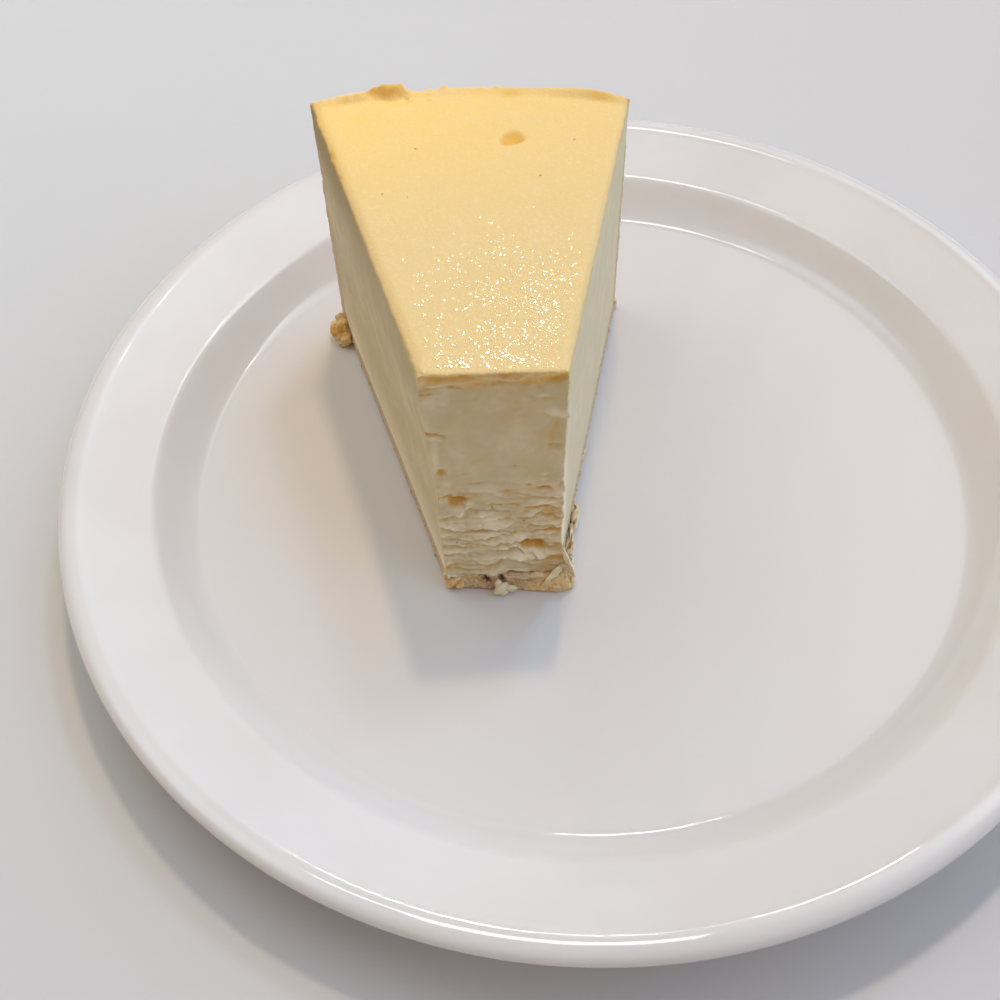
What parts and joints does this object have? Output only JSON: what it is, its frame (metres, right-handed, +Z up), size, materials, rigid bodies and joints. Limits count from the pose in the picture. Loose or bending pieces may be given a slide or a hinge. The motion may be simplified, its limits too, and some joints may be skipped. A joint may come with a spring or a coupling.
{
  "type": "cheesecake slice on plate",
  "caption": "Tall wedge of plain baked cheesecake in a thin biscuit crust, its tip eaten away, standing on a round white glazed plate with a broad rim.",
  "frame": {"origin": "centre of the plate's foot, on the surface that it stands on", "axes": "+Z up, -Y towards the slice's torn front, +X to the right seen from that front"},
  "size_m": [0.225, 0.225, 0.0736],
  "materials": {
    "white_glaze": "glossy white glaze",
    "biscuit_crumb": "dry golden-brown biscuit crumb",
    "baked_cheese": "smooth cream-coloured baked cheese with a golden top, slightly moist"
  },
  "bodies": {
    "root": {"plate": "white_glaze", "biscuit_crust": "biscuit_crumb", "cheese_filling": "baked_cheese"}
  },
  "joints": []
}
